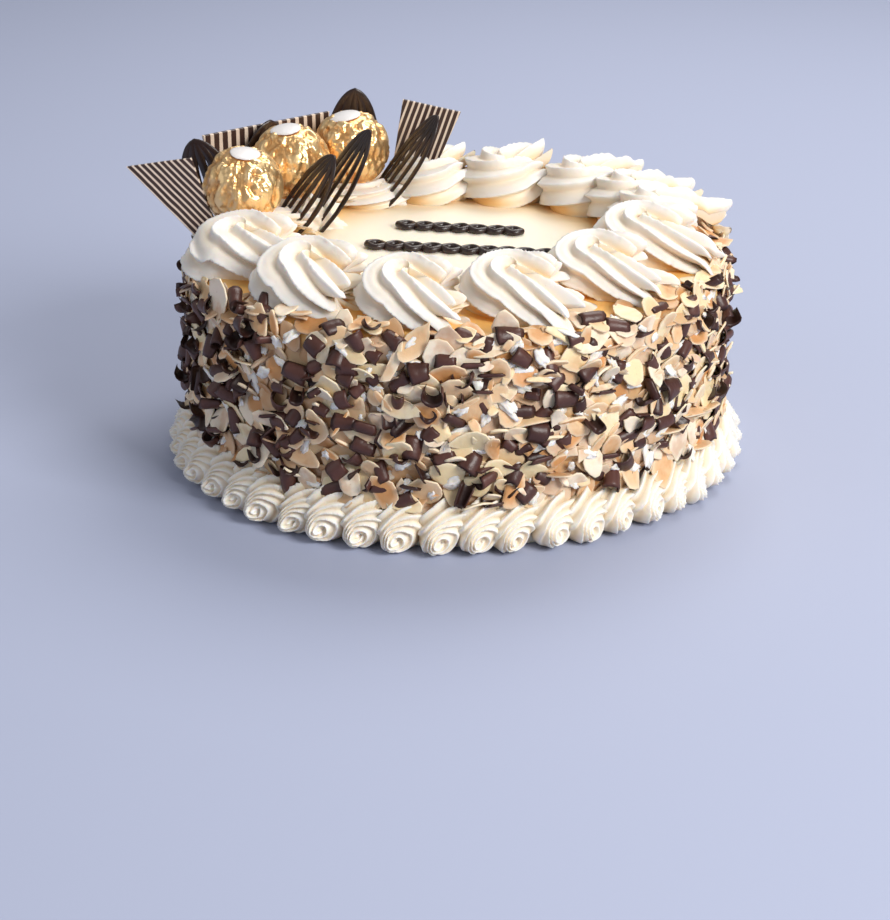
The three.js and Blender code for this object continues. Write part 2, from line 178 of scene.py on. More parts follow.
# %% The words the rules use
def sine(x): return maths("SINE", x)
def cosine(x): return maths("COSINE", x)
def root(x): return maths("SQRT", x)
def size_of(x): return maths("ABSOLUTE", x)
def most(a, b): return maths("MAXIMUM", a, b)
def least(a, b): return maths("MINIMUM", a, b)
def part_of(x): return maths("FRACT", x)
def whole(x): return maths("FLOOR", x)
def above(a, b): return maths("GREATER_THAN", a, b)
def sign_of(x): return maths("SIGN", x)
def power_of_e(x): return maths("EXPONENT", x)


def ramp(x, low, high):
    """Rises smoothly from 0 at low to 1 at high."""
    return step(x.tree, "ShaderNodeMapRange", {0: x, 1: low, 2: high},
                interpolation_type="SMOOTHSTEP")


def held(x, low=0.0, high=1.0):
    """Keeps a number between two others."""
    return least(most(x, low), high)


def vector(x, y, z):
    """A place, from three numbers of which at least one is a field."""
    tree = next(v.tree for v in (x, y, z) if isinstance(v, Field))
    return step(tree, "ShaderNodeCombineXYZ", {0: x, 1: y, 2: z})


def millimetres(x, y, z):
    """A place given in millimetres, in Blender's metres."""
    return vector(x * MM, y * MM, z * MM)


def uneven(place, scale=1.0, detail=2.0):
    """A soft random number from about -1 to 1 that changes with a place."""
    noise = step(place.tree, "ShaderNodeTexNoise",
                 {"Vector": place, "Scale": scale, "Detail": detail})
    return (noise - 0.5) * 2.0


def facets(place, scale=1.0):
    """Small pyramids with flat sides and sharp edges, as in crumpled foil."""
    return step(place.tree, "ShaderNodeTexVoronoi", {"Vector": place, "Scale": scale},
                distance="MANHATTAN")


def chance(tree, number, seed, low=0.0, high=1.0):
    """A random number that belongs to a whole number, the same on every run."""
    made = add_node(tree, "FunctionNodeRandomValue", {2: low, 3: high, 7: number, 8: seed},
                    data_type="FLOAT")
    return Field(tree, made.outputs[1])


def dice(tree, number):
    """Dice for each number: `odd(seed, low, high)` always throws the same for the same number."""
    return lambda seed, low, high: chance(tree, number, seed, low, high)


print("words for rules: sine, ramp, held, uneven, chance and a few more")

# %% [markdown]
# ## From a square of mesh to a finished piece
#
# A flat grid is the best dough for a rule: each of its points knows how far round and how far along
# it is, and the rule says where in space that place belongs. Many small things, such as flakes, are
# many grids, each with its own number, from which the rule draws that flake's own size and turn.
# So no two flakes are alike, though all of them come from one rule.

# %% Starting and ending a rule
SEAM = 1e-6  # points nearer than this, in metres, become one


def new_rule(name, **sizes):
    """An empty tree with named inputs. Returns the tree and its inputs as fields."""
    tree = bpy.data.node_groups.new(name, "GeometryNodeTree")
    tree.interface.new_socket("Geometry", in_out="OUTPUT", socket_type="NodeSocketGeometry")
    tree.interface.new_socket("Finish", in_out="INPUT", socket_type="NodeSocketMaterial")
    for label, value in sizes.items():
        kind = "NodeSocketInt" if isinstance(value, int) else "NodeSocketFloat"
        tree.interface.new_socket(label, in_out="INPUT", socket_type=kind).default_value = value
    entry = tree.nodes.new("NodeGroupInput")
    return tree, {label: Field(tree, entry.outputs[label]) for label in ["Finish", *sizes]}


def store(tree, geometry, name, value):
    """Writes a number on every point, under a name."""
    return step(tree, "GeometryNodeStoreNamedAttribute",
                {"Geometry": geometry, "Name": name, "Value": value}, data_type="FLOAT")


def read(tree, name):
    """The number that was stored on each point under a name."""
    made = add_node(tree, "GeometryNodeInputNamedAttribute", {"Name": name}, data_type="FLOAT")
    return Field(tree, made.outputs["Attribute"])


def dough(tree, around, along, count=1):
    """`count` grids. Returns them, and for each point its place round and along and its number."""
    grid = step(tree, "GeometryNodeMeshGrid", {"Size X": 1.0, "Size Y": 1.0,
                                               "Vertices X": around + 1, "Vertices Y": along + 1})
    corner = add_node(tree, "ShaderNodeSeparateXYZ", {0: step(tree, "GeometryNodeInputPosition")})
    sheet = store(tree, grid, "around", Field(tree, corner.outputs[0]) + 0.5)
    sheet = store(tree, sheet, "along", Field(tree, corner.outputs[1]) + 0.5)
    points = step(tree, "GeometryNodePoints", {"Count": count})
    points = store(tree, points, "number", step(tree, "GeometryNodeInputIndex"))
    spread = step(tree, "GeometryNodeInstanceOnPoints", {"Points": points, "Instance": sheet})
    real = step(tree, "GeometryNodeRealizeInstances", {"Geometry": spread})
    return real, read(tree, "around"), read(tree, "along"), read(tree, "number")


def lay_along(along, cap):
    """Splits a tube: its share without the two caps, nearness to each tip, and how wide it is."""
    share = held((along - cap) / (1 - 2 * cap))
    from_start = 1.0 - held(along / cap)
    from_end = 1.0 - held((1.0 - along) / cap)
    closing = root(held(1.0 - from_start * from_start)) * root(held(1.0 - from_end * from_end))
    return share, from_start, from_end, closing


def unit_ball(angle, polar):
    """A place on a ball of radius 1, from its turn and its angle down from the top."""
    return sine(polar) * cosine(angle), sine(polar) * sine(angle), cosine(polar)


def bake_rule(tree, sizes, geometry, place, **traits):
    """Moves the points to their place, closes the seams and hands the shape its finish."""
    for name, value in traits.items():
        geometry = store(tree, geometry, name, value)
    moved = step(tree, "GeometryNodeSetPosition", {"Geometry": geometry, "Position": place})
    closed = step(tree, "GeometryNodeMergeByDistance", {"Geometry": moved, "Distance": SEAM})
    smooth = step(tree, "GeometryNodeSetShadeSmooth", {"Geometry": closed})
    real = step(tree, "GeometryNodeRealizeInstances", {"Geometry": smooth})
    coated = step(tree, "GeometryNodeSetMaterial", {"Geometry": real, "Material": sizes["Finish"]})
    plug(tree, coated, tree.nodes.new("NodeGroupOutput").inputs[0])
    print("rule", tree.name, "has", len(tree.nodes), "nodes")


print("a rule starts with new_rule and ends with bake_rule")

# %% From a rule to a plain mesh
def settle(name, mesh, nodes):
    """Makes a finished mesh a piece that rides on the cake, in place of its solids."""
    work = bmesh.new()
    work.from_mesh(mesh)
    bmesh.ops.recalc_face_normals(work, faces=work.faces)
    work.to_mesh(mesh)
    work.free()
    for spare in ("around", "along", "number"):
        if spare in mesh.attributes:
            mesh.attributes.remove(mesh.attributes[spare])
    mesh.name = name
    piece = bpy.data.objects.new(name, mesh)
    scene.collection.objects.link(piece)
    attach(piece, "root")
    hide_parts(*nodes)
    faces = sum(len(face.vertices) - 2 for face in mesh.polygons)
    low = [round(min(v.co[k] for v in mesh.vertices) / MM, 1) for k in range(3)]
    high = [round(max(v.co[k] for v in mesh.vertices) / MM, 1) for k in range(3)]
    print(f"{name}: {faces} triangles, from {low} to {high} mm")


def grow(name, tree, finish, slot, nodes, turn=None, **values):
    """Runs a rule with the given inputs and keeps the plain mesh that it makes."""
    bud = bpy.data.objects.new("bud", bpy.data.meshes.new("bud"))
    scene.collection.objects.link(bud)
    rule = bud.modifiers.new("rule", "NODES")
    rule.node_group = tree
    inputs = {item.name: item.identifier for item in tree.interface.items_tree
              if item.item_type == "SOCKET" and item.in_out == "INPUT"}
    rule[inputs["Finish"]] = finish
    for label, value in values.items():
        rule[inputs[label]] = value
    graph = bpy.context.evaluated_depsgraph_get()
    mesh = bpy.data.meshes.new_from_object(bud.evaluated_get(graph), depsgraph=graph)
    bpy.data.objects.remove(bud)
    if turn:
        mesh.transform(turn)
    settle(name, mesh, nodes)


print("grow runs a rule, and settle makes its mesh a piece")

# %% [markdown]
# ## Finishes
#
# Whipped cream isn't paper white. Light goes into it and comes out warmer, and its hollows lie in
# shade, so they look yellow and darker while its crests look white. The rules below store how
# hollow each point is, and the cream finish paints that as warm painted shade. A node that finds
# hollows could do it in the picture, but stored numbers stay on the mesh. Subsurface light does the
# rest.
# The fine skin of the cream, a few bubbles and a soft grain, is one group that every cream shares.

# %% Helpers for finishes
def new_finish(name, **plain):
    """A material with a Principled shader, and its plain values set on their own sockets."""
    made = bpy.data.materials.new(name)
    made.use_nodes = True
    tree = made.node_tree
    shader = tree.nodes["Principled BSDF"]
    for label, value in plain.items():
        shader.inputs[label.replace("_", " ")].default_value = value
    print("finish", name)
    return made, tree, shader


def trait(tree, name):
    """What a rule stored on the points, as a finish sees it."""
    made = add_node(tree, "ShaderNodeAttribute", attribute_name=name)
    return Field(tree, made.outputs["Fac"])


def object_place(tree):
    """The point's own place in metres, so that a pattern stays on the piece."""
    return Field(tree, tree.nodes.new("ShaderNodeTexCoord").outputs["Object"])


def colour_mix(share, first, second):
    """Blends two colours; each is a plain colour or a field."""
    made = add_node(share.tree, "ShaderNodeMix", data_type="RGBA")
    plug(share.tree, share, made.inputs[0])
    for colour, target in ((first, made.inputs[6]), (second, made.inputs[7])):
        plug(share.tree, (*colour, 1) if isinstance(colour, tuple) else colour, target)
    return Field(share.tree, made.outputs[2])


def bumpy(shader, height, distance, strength=1.0):
    """Small relief: a height in metres times strength, as a normal."""
    tree = height.tree
    relief = step(tree, "ShaderNodeBump",
                  {"Height": height, "Distance": distance, "Strength": strength})
    plug(tree, relief, shader.inputs["Normal"])


print("a finish starts with new_finish; colour_mix and bumpy dress it")


# %% A shared effect: tiny bubbles and grain in cream
cream_skin = bpy.data.node_groups.new("cream_skin", "ShaderNodeTree")
for label, way, kind in (("Place", "INPUT", "Vector"), ("Bubbles", "INPUT", "Float"),
                         ("Height", "OUTPUT", "Float"), ("Cloud", "OUTPUT", "Float")):
    cream_skin.interface.new_socket(label, in_out=way, socket_type="NodeSocket" + kind)
entry = cream_skin.nodes.new("NodeGroupInput")
way_out = cream_skin.nodes.new("NodeGroupOutput")
place = Field(cream_skin, entry.outputs["Place"])
cell = add_node(cream_skin, "ShaderNodeTexVoronoi", {"Vector": place, "Scale": 420.0})
pit = 1.0 - ramp(Field(cream_skin, cell.outputs["Distance"]), 0.08, 0.22)
rare = ramp(uneven(place, 55.0), 0.05, 0.4)
grain = uneven(place, 900.0, 3.0) * 0.25
bubbles = Field(cream_skin, entry.outputs["Bubbles"])
plug(cream_skin, grain - pit * rare * bubbles, way_out.inputs["Height"])
plug(cream_skin, uneven(place, 38.0, 3.0) * 0.5 + 0.5, way_out.inputs["Cloud"])
print("cream skin group:", len(cream_skin.nodes), "nodes")

# %% Cream
def cream_finish(name, crest, hollow, bubbles, amber=(0.92, 0.53, 0.18), crumbs=None):
    """White crests; painted shade, warm in hollows and amber where almost no light comes; crumbs
    and painted shade darken a side.
    """
    made, tree, shader = new_finish(name, Roughness=0.42, Subsurface_Weight=0.22,
                                    Subsurface_Scale=0.003, Specular_IOR_Level=0.35)
    shader.inputs["Subsurface Radius"].default_value = (1.0, 0.6, 0.32)
    skin = add_node(tree, "ShaderNodeGroup", {}, node_tree=cream_skin)
    plug(tree, object_place(tree), skin.inputs["Place"])
    skin.inputs["Bubbles"].default_value = bubbles
    # Painted shade: how hollow a point is, stirred by a soft cloud, warms the crest colour in
    # hollows and turns it amber in the deepest.
    depth = trait(tree, "hollow") * (0.7 + Field(tree, skin.outputs["Cloud"]) * 0.6)
    warm = colour_mix(held(depth / 0.8), crest, hollow)
    warm = colour_mix(ramp(depth, 0.62, 1.1), warm, amber)
    # Crumbs and painted shade: the side between the nuts is painted darker brown, in spots.
    if crumbs:
        spots = ramp(uneven(object_place(tree), 240.0, 3.0), -0.5, 0.2)
        warm = colour_mix(trait(tree, "crumbs") * (0.45 + spots * 0.5), warm, crumbs)
    plug(tree, warm, shader.inputs["Base Color"])
    bumpy(shader, Field(tree, skin.outputs["Height"]), 0.00012, 0.8)
    return made


piped_cream = cream_finish("piped_cream", (0.83, 0.80, 0.765), (0.91, 0.73, 0.48), 1.2)
border_cream = cream_finish("border_cream", (0.95, 0.92, 0.87), (0.86, 0.74, 0.56), 0.8,
                            (0.66, 0.50, 0.32))

# %% [markdown]
# ## The rope of cream
#
# Every rosette on this cake is one movement of the hand: the star nozzle starts near the middle,
# turns once, and is drawn outwards over the rim until the cream tears. So a rosette is a
# star-shaped rope laid in a hairpin. A swept curve would give the rope, but not its flat underside,
# the web at the turn or the torn fingers. A rule on a grid gives all of those. Its folds lean over
# a little, as soft cream does, and at its end it either flares or tapers.

# %% The shape of a laid rope
ROPE = {"groove": 0.27, "cap": 0.08, "lean": 0.21}


def laid_rope(tree, at, around, along, number):
    """Where a point of the rope lies: along the tail, to the side, and up, all in millimetres."""
    lobes, seed, twist, flare = at["Lobes"], at["Seed"], at["Twist"], at["Flare"]
    start, head, tail = at["Start"], at["Head"], at["Tail"]
    width, height, fingers = at["Rope width"], at["Rope height"], at["Finger length"]
    share, from_start, from_end, closing = lay_along(along, ROPE["cap"])
    distance = share * (start + head * math.pi + tail)
    turn = held((distance - start) / head, 0.0, math.pi)
    past_head = most(distance - start - head * math.pi, 0.0)
    line_x = most(start - distance, 0.0) - head * sine(turn) + past_head
    line_y = head * cosine(turn)

    angle = around * FULL_TURN
    lobe = (angle - twist * (share - 0.45)) * lobes / FULL_TURN
    lobe = lobe + ROPE["lean"] * sine(lobe * math.pi) ** 2.0
    wave = size_of(sine(lobe * math.pi))
    torn = ramp(share, 0.62, 1.0) + 1.0 - ramp(share, 0.0, 0.2)
    ridge = 1.0 - wave ** (0.85 + torn * 0.9)
    crest = ridge ** 3.0
    lobe_number = whole(part_of((lobe + 0.5) / lobes) * lobes) + number * 11.0
    own_reach = chance(tree, lobe_number, seed, 0.2, 1.0)

    wander = uneven(vector(share * 3.0, number * 5.3 + seed, 0.0))
    ragged = ramp(uneven(vector(share * 5.0, lobe_number * 3.1, 4.0)), -0.35, 0.15)
    notch = most(uneven(vector(distance * 0.6, lobe_number * 7.7, 0.0), 1.0, 1.0), 0.0) * ragged
    streak = uneven(vector(cosine(angle) * 14.0, sine(angle) * 14.0, share * 2.5 + seed), 1.0, 1.0)
    deep = ROPE["groove"] + (0.12 + 0.5 * most(flare, 0.0)) * ramp(share, 0.65, 1.0)
    taper = 1.0 - 0.28 * power_of_e(share * -8.0)
    taper = taper + flare * power_of_e((share - 1.0) * 9.0)
    reach = (1.0 - deep * (1.0 - ridge)) * taper * closing
    reach = reach * (1.0 + wander * 0.07 - notch * crest * 0.16 + streak * 0.013)

    sideways = reach * width * sine(angle)
    inner = ramp(-sideways, head * 0.25, head * 0.95)
    sideways = most(sideways, -1.05 * head)
    up = most(at["Rope centre"] + reach * height * cosine(angle), inner * at["Web"] * closing)

    pull = ramp(share, 0.72, 1.0) ** 2.0 + 0.35 * sine(from_end * (math.pi / 2))
    finger = own_reach * 1.1 - (own_reach * 1.1 + 0.4) * wave * wave
    forward = pull * fingers * finger * (1.0 - from_end ** 6.0) - from_end ** 6.0 * fingers * 0.6
    push = 1.0 - ramp(share, 0.0, 0.2) + 0.35 * sine(from_start * (math.pi / 2))
    forward = forward - push * fingers * 0.6 * own_reach * ridge * (1.0 - from_start ** 6.0)
    forward = forward + from_start ** 6.0 * fingers * 0.4
    x = line_x - cosine(turn) * forward - sine(turn) * sideways
    y = line_y - sine(turn) * forward + cosine(turn) * sideways
    # Painted shade: grooves, the low underside, the inner side and the end are marked for a warmer,
    # darker colour.
    low = 1.0 - ramp(up, 0.05 * height, 0.5 * height)
    shaded = low * 0.4 + inner * 0.4 + from_end * 0.25
    hollow = held((1.0 - ridge) * (0.55 + low * 0.6) + shaded - 0.1)
    return x, y, up, share, hollow


print("the rope's grooves take", ROPE["groove"], "of its width")

# %% The rosette rule
CAKE_RADIUS = 106.0
CAKE_HEIGHT = 83.5
RIM_ROUND = 7.0
RIM_FOLLOWED = 0.86  # the share of the rounded rim that a rosette follows down
SUNK = 0.2  # how far a piece sinks into what carries it
SLUMP = {"wider": 0.045, "lower": 3.0}


def rim_drop(radius):
    """How far the rounded rim falls below the top, at a radius."""
    beyond = held(radius - (CAKE_RADIUS - RIM_ROUND), 0.0, RIM_FOLLOWED * RIM_ROUND)
    return RIM_ROUND - root(RIM_ROUND ** 2 - beyond * beyond)


rosette_rule, at = new_rule("rosette", **{
    "Pivot X": 0.0, "Pivot Y": 0.0, "Tail angle": 0.0, "Inward": 1.0, "Size": 1.0, "Height": 1.0,
    "Tail height": 1.0, "Start": 11.0, "Head": 7.6, "Tail": 21.0, "Rope width": 13.6,
    "Rope height": 13.0, "Rope centre": 7.6, "Web": 11.0, "Lobes": 9.0, "Finger length": 7.0,
    "Twist": 2.6, "Slump": 1.0, "Flare": -0.2, "Round": 150, "Along": 112, "Seed": 1})
sheet, around, along, number = dough(rosette_rule, at["Round"], at["Along"])
x, y, up, share, hollow = laid_rope(rosette_rule, at, around, along, number)
x, y = x * at["Size"], y * at["Size"] * at["Inward"]
c, s = cosine(at["Tail angle"]), sine(at["Tail angle"])
flat_x, flat_y = at["Pivot X"] + x * c - y * s, at["Pivot Y"] + x * s + y * c
radius = root(flat_x * flat_x + flat_y * flat_y)
slump = ramp(radius, 76.0, 108.0) * at["Slump"]
wider = 1.0 + SLUMP["wider"] * slump
flat_x, flat_y, radius = flat_x * wider, flat_y * wider, radius * wider
tall = at["Height"] * (1.0 + (at["Tail height"] - 1.0) * share * share)
lift = CAKE_HEIGHT - SUNK - rim_drop(radius) + up * tall - slump * SLUMP["lower"]
bake_rule(rosette_rule, at, sheet, millimetres(flat_x, flat_y, lift), hollow=hollow)

# %% [markdown]
# ## Fourteen rosettes
#
# No two rosettes of the real cake are alike: those in front are wider and end in long torn fingers,
# and those at the back are higher. Copies of one mesh would show. So one rule is run fourteen
# times, each time with its own place, turn, size and seed. Whether a hairpin is mirrored follows
# from the side of the middle that it passes, apart from one that was piped the other way round.

# %% Rosettes
# Each row: pivot x and y, tail angle in degrees, size, height, and height of the tail's end.
ROSETTES = [
    (-38, 69, 32, 1, 0.52, 0.8), (-66, 47, 10, 1, 0.5, 0.8), (-84, 18, -12, 1, 0.55, 0.8),
    (-82.5, -18, -30, 1.06, 1, 0.75), (-55.5, -54, -36, 1.06, 1.02, 0.7),
    (-18, -72, -28, 1.02, 0.98, 0.62), (22, -69, -21, 1.06, 1, 0.6),
    (54.5, -44, -22, 1.04, 1, 0.62), (75.5, -8, -17, 1.04, 1.03, 0.7),
    (82, 20, -4, 1, 0.97, 0.9), (74, 40, 8, 1, 1, 0.95), (54.5, 58, 16, 1, 1.02, 1),
    (21, 71.5, 27, 1, 1, 1.05), (-12, 74, 30, 0.96, 0.92, 1)]
PIPED_OTHER_WAY = 8
IN_FRONT = range(3, 9)
FIRST_BEHIND = 9
for i, (px, py, tail, size, height, end) in enumerate(ROSETTES):
    heading = math.radians(tail)
    aside = px * -math.sin(heading) + py * math.cos(heading)
    mirrored = aside > 0 and i != PIPED_OTHER_WAY
    grow(f"piped_rosette_{i + 1:02d}", rosette_rule, piped_cream, "cream", [f"rosette_{i + 1:02d}"],
         **{"Pivot X": float(px), "Pivot Y": float(py), "Tail angle": heading,
            "Inward": -1.0 if mirrored else 1.0, "Size": float(size), "Height": float(height),
            "Tail height": float(end), "Finger length": 6.0 if i in IN_FRONT else 4.5,
            "Flare": 0.1 if i >= FIRST_BEHIND else -0.2, "Seed": i + 1})

# %% [markdown]
# ## The border of shells
#
# Round the foot sits a border of small shells, one every 7.5 degrees. Each is a swirl pressed
# against the side: fine ridges start in teeth at its top edge, flow down its left, wrap round the
# bottom and wind into a little eye. Sculpting one and copying it would give a stamped look. A ridge
# that winds is a phase that grows with the angle and with the distance from the eye, so the rule
# works in a polar grid round each eye and gives each shell its own lean, size and winding.

# %% The face of a shell
SHELLS = 48
FACE = 0.87  # the share of the grid that makes the face; the rest closes the back
shell_rule, at = new_rule("shells", **{
    "Count": SHELLS // 2, "First": 0, "Shells": SHELLS, "Wall radius": 105.4, "Eye height": 6.1,
    "Depth": 10.4, "Ridge": 2.2})
sheet, around, along, number = dough(shell_rule, 72, 44, at["Count"])
number = number + at["First"]
odd = dice(shell_rule, number)
angle = around * FULL_TURN
ahead, aloft = cosine(angle), sine(angle)
reach = held(along / FACE)
back = held((along - FACE) / (1.0 - FACE))
top, left, right = most(aloft, 0.0), most(-ahead, 0.0), most(ahead, 0.0)
outline = 5.7 + 7.4 * top ** 1.3 + 2.5 * left + 1.8 * right
fan = ramp(angle, 0.3, 2.6) - angle / FULL_TURN
wobble = uneven(vector(ahead * 0.9, aloft * 0.9, number * 3.1)) * 0.16
phase = angle / FULL_TURN + fan * 3.0 * ramp(reach, 0.2, 0.65)
phase = phase + reach * outline / odd(2, 2.45, 2.9) + odd(3, 0.0, 1.0) + wobble
ridge = 1.0 - size_of(sine(phase * math.pi)) ** 1.1
outline = outline + (ridge * 3.6 - 0.8) * top * ramp(reach, 0.55, 1.0)
grow_by = odd(4, 0.94, 1.06)
a = reach * outline * ahead * (1.0 - back) * grow_by
b = reach * outline * aloft * (1.0 - back) * grow_by
print("shells:", SHELLS, "one every", 360 / SHELLS, "degrees")

# %% The depth of a shell, and its place round the foot
dome = root(held(1.0 - reach ** 2.6))
shape = dome * (1.0 - 0.5 * top * reach) * (1.0 + 0.12 * left - 0.2 * right)
eye = 1.0 - ramp(reach, 0.0, 0.3)
lumps = uneven(vector(a * 0.35 + number, b * 0.35, number * 1.9)) * 0.5
out = at["Depth"] * grow_by * shape + ridge * at["Ridge"] * ramp(reach, 0.02, 0.2) * dome ** 0.35
out = out - eye * 1.3 + lumps * dome - back * 2.0
lean = odd(5, 0.02, 0.26)
a = a + b * lean
turn = (number + 0.5) * FULL_TURN / at["Shells"] + odd(6, -0.01, 0.01)
out = at["Wall radius"] + out
turn = turn + a / out
high_up = most(at["Eye height"] + odd(7, -0.6, 0.4) + b, 0.0)
# Painted shade: the grooves and the edge of each shell are marked for a warmer, darker colour.
hollow = held((1.0 - ridge) * 0.85 + (1.0 - dome) * 0.5 - 0.12)
place = millimetres(out * cosine(turn), out * sine(turn), high_up)
bake_rule(shell_rule, at, sheet, place, hollow=hollow)
for half in range(2):
    grow(f"piped_border_{half + 1}", shell_rule, border_cream, "cream", ["shell_border"],
         First=half * SHELLS // 2)

# %% [markdown]
# ## Cream body
#
# The body is a lathe form: flat top, rounded rim, and a side that the pastry cook spread roughly
# before pressing the nuts on. A cylinder with a bevel would be too clean, so the rule bends a sheet
# round the profile and lets the side swell where cream was squeezed out between the nuts. Only
# patches of it show. The rim is painted amber, as painted shade where the rosettes shade it, and
# the side is painted darker, partly for crumbs and partly as painted shade between the nuts.

# %% The profile of the body
body_rule, at = new_rule("body", **{"Radius": CAKE_RADIUS, "Height": CAKE_HEIGHT, "Rim": RIM_ROUND,
                                    "Roughness of side": 1.0})
sheet, around, along, _ = dough(body_rule, 240, 130)
foot, side_end, rim_end = 0.12, 0.55, 0.7
bottom = held(along / foot)
wall = held((along - foot) / (side_end - foot))
bend = held((along - side_end) / (rim_end - side_end)) * (math.pi / 2)
top = held((along - rim_end) / (1 - rim_end))
round_by = around * FULL_TURN
ahead, aside = cosine(round_by), sine(round_by)
rough = uneven(vector(ahead * 9.0, aside * 9.0, wall * 6.0), 1.0, 3.0)
squeezed = uneven(vector(ahead * 11.0, aside * 11.0, wall * 8.0 + 7.0), 1.0, 2.0)
squeezed = ramp(squeezed, 0.2, 0.45)
spread = uneven(vector(ahead * (1.0 - top) * 4.0, aside * (1.0 - top) * 4.0, 0.0), 1.0, 2.0)
radius = at["Radius"] * bottom - at["Rim"] * (1.0 - cosine(bend))
radius = radius - (at["Radius"] - at["Rim"]) * top
pressed = ramp(wall, 0.02, 0.2) * (1.0 - top) * bottom
radius = radius + (rough + squeezed * 2.2) * at["Roughness of side"] * pressed
height = (at["Height"] - at["Rim"]) * wall + at["Rim"] * sine(bend)
height = height + spread * 0.25 * ramp(top, 0.0, 0.1)
print("profile: foot to", foot, "side to", side_end, "rim to", rim_end, "of the sheet")

# %% Cream body
# Painted amber shade at the rim under the rosettes, weaker at the back, where the back lamp lights
# it.
lit_back = 0.55 * top * ramp(aside, 0.45, 0.9)
amber = ramp(radius, 42.0, 77.0) * ramp(height, 60.0, 80.0) * (1.0 - lit_back)
# The side below the rim is marked to be painted darker, partly for crumbs and partly as painted
# shade between the nuts.
crumbs = (1.0 - ramp(height, 70.0, 80.0)) * ramp(height, 9.0, 14.0) * (1.0 - squeezed)
place = millimetres(radius * ahead, radius * aside, height)
bake_rule(body_rule, at, sheet, place, hollow=amber, crumbs=crumbs)
body_cream = cream_finish("body_cream", (0.95, 0.86, 0.71), (0.92, 0.62, 0.28), 0.5,
                          (0.95, 0.52, 0.15), (0.34, 0.15, 0.05))
grow("cream_body", body_rule, body_cream, "cream", ["cake_body"])

# %% [markdown]
# ## Nut flakes
#
# Flaked almonds are thin slices, about 14 mm long, tapered at one end and often broken, and between
# them stick narrow slivers. They lie on the side at every angle. A particle system would drop them
# at plain random places and leave bare patches. An even sequence (each number times a fixed
# fraction) leaves none, and a soft noise can still draw some pieces together into clumps.

# %% Where things lie on the side
SPREAD_ROUND, SPREAD_UP = 0.7548777, 0.5698403  # the fractions of the even sequence
LOWER_AT_LEFT = 7.0  # the rosettes hang lower there, so the nuts stop lower too
OVER_RIM = 1.45  # how far things may bend over the rim, in radians
ANY_TURN = 6.283


def on_side(number, seed, crowd, low, high, clump=0.0):
    """A turn round the cake and a way up its profile, spread evenly or in clumps."""
    turn = part_of(number * SPREAD_ROUND + seed * 0.37) * FULL_TURN
    turn = turn - crowd * sine(turn)
    high = high - LOWER_AT_LEFT * ramp(-cosine(turn), 0.78, 0.95)
    way_up = low + (high - low) * part_of(number * SPREAD_UP + seed * 0.61)
    spot = vector(cosine(turn) * 5.0, sine(turn) * 5.0, way_up * 0.045 + seed * 1.3)
    return turn + clump * uneven(spot, 1.0, 1.0), way_up


def stand_on_side(turn, way_up, out, a, b, c, spin, tip):
    """Turns a small thing in its own plane, tips it, and puts it on the side or over the rim."""
    a, b = a * cosine(spin) - b * sine(spin), a * sine(spin) + b * cosine(spin)
    b, c = b * cosine(tip) - c * sine(tip), b * sine(tip) + c * cosine(tip)
    bend = held((way_up - (CAKE_HEIGHT - RIM_ROUND)) / RIM_ROUND, 0.0, OVER_RIM)
    c = c + out + RIM_ROUND
    radius = CAKE_RADIUS - RIM_ROUND + c * cosine(bend) - b * sine(bend)
    height = least(way_up, CAKE_HEIGHT - RIM_ROUND) + c * sine(bend) + b * cosine(bend)
    x = radius * cosine(turn) - a * sine(turn)
    y = radius * sine(turn) + a * cosine(turn)
    return millimetres(x, y, height)


print("things lie on the side between the foot and", CAKE_HEIGHT, "mm")

# %% The outline of a flake
FLAKE_POINTS, FLAKE_ROWS = 13, 7
flake_rule, at = new_rule("flakes", **{
    "Count": 1080, "Length": 17.0, "Width": 11.0, "Thickness": 0.75, "Low": 18.0, "High": 87.0,
    "Stand off": 3.2, "Tip": 0.45, "Seed": 3})
sheet, around, along, number = dough(flake_rule, FLAKE_POINTS, FLAKE_ROWS, at["Count"])
odd = dice(flake_rule, number)
angle = around * FULL_TURN
from_middle = (1.0 - size_of(along * 2.0 - 1.0)) * FLAKE_ROWS / (FLAKE_ROWS - 1.0)
across = 1.0 - held(1.0 - from_middle) ** 2.4
rim = uneven(vector(cosine(angle) * 1.6, sine(angle) * 1.6, number * 3.7)) * 0.34 + 1.0
length = at["Length"] * odd(1, 0.5, 1.15) * 0.5
width = at["Width"] * odd(2, 0.6, 1.2) * 0.5
a = across * cosine(angle) * rim
b = across * sine(angle) * rim
b = b * width * (1.0 - 0.14 * a - 0.42 * most(a, 0.0) ** 1.5)
a = least(a, odd(3, 0.2, 1.9)) * length
b = least(b, odd(12, 0.2, 2.4) * width)
c = sign_of(0.5 - along) * at["Thickness"] * 0.5 * (1.0 - 0.3 * across ** 20.0)
c = c + odd(4, -0.03, 0.03) * a * a + uneven(vector(a * 0.2, b * 0.2, number)) * 0.6
print("a flake has", FLAKE_POINTS, "points round its rim and", FLAKE_ROWS, "rows across")

# %% Where the flakes stick
turn, way_up = on_side(number, at["Seed"], 0.22, at["Low"], at["High"])
above_side = odd(9, 0.0, 1.0) ** 1.4
tip = at["Tip"] * odd(6, -1.0, 1.0) + above(odd(7, 0.0, 1.0), 0.78) * odd(8, -1.2, 1.2)
off = 0.2 + at["Stand off"] * above_side
place = stand_on_side(turn, way_up, off, a, b, c, odd(5, 0.0, ANY_TURN), tip)
# Flakes close to the side are marked deep, to be painted darker: partly soaked, partly painted
# shade.
bake_rule(flake_rule, at, sheet, place, tint=odd(11, 0.0, 1.0), rim=across ** 8.0,
          deep=1.0 - ramp(above_side, 0.0, 0.55))
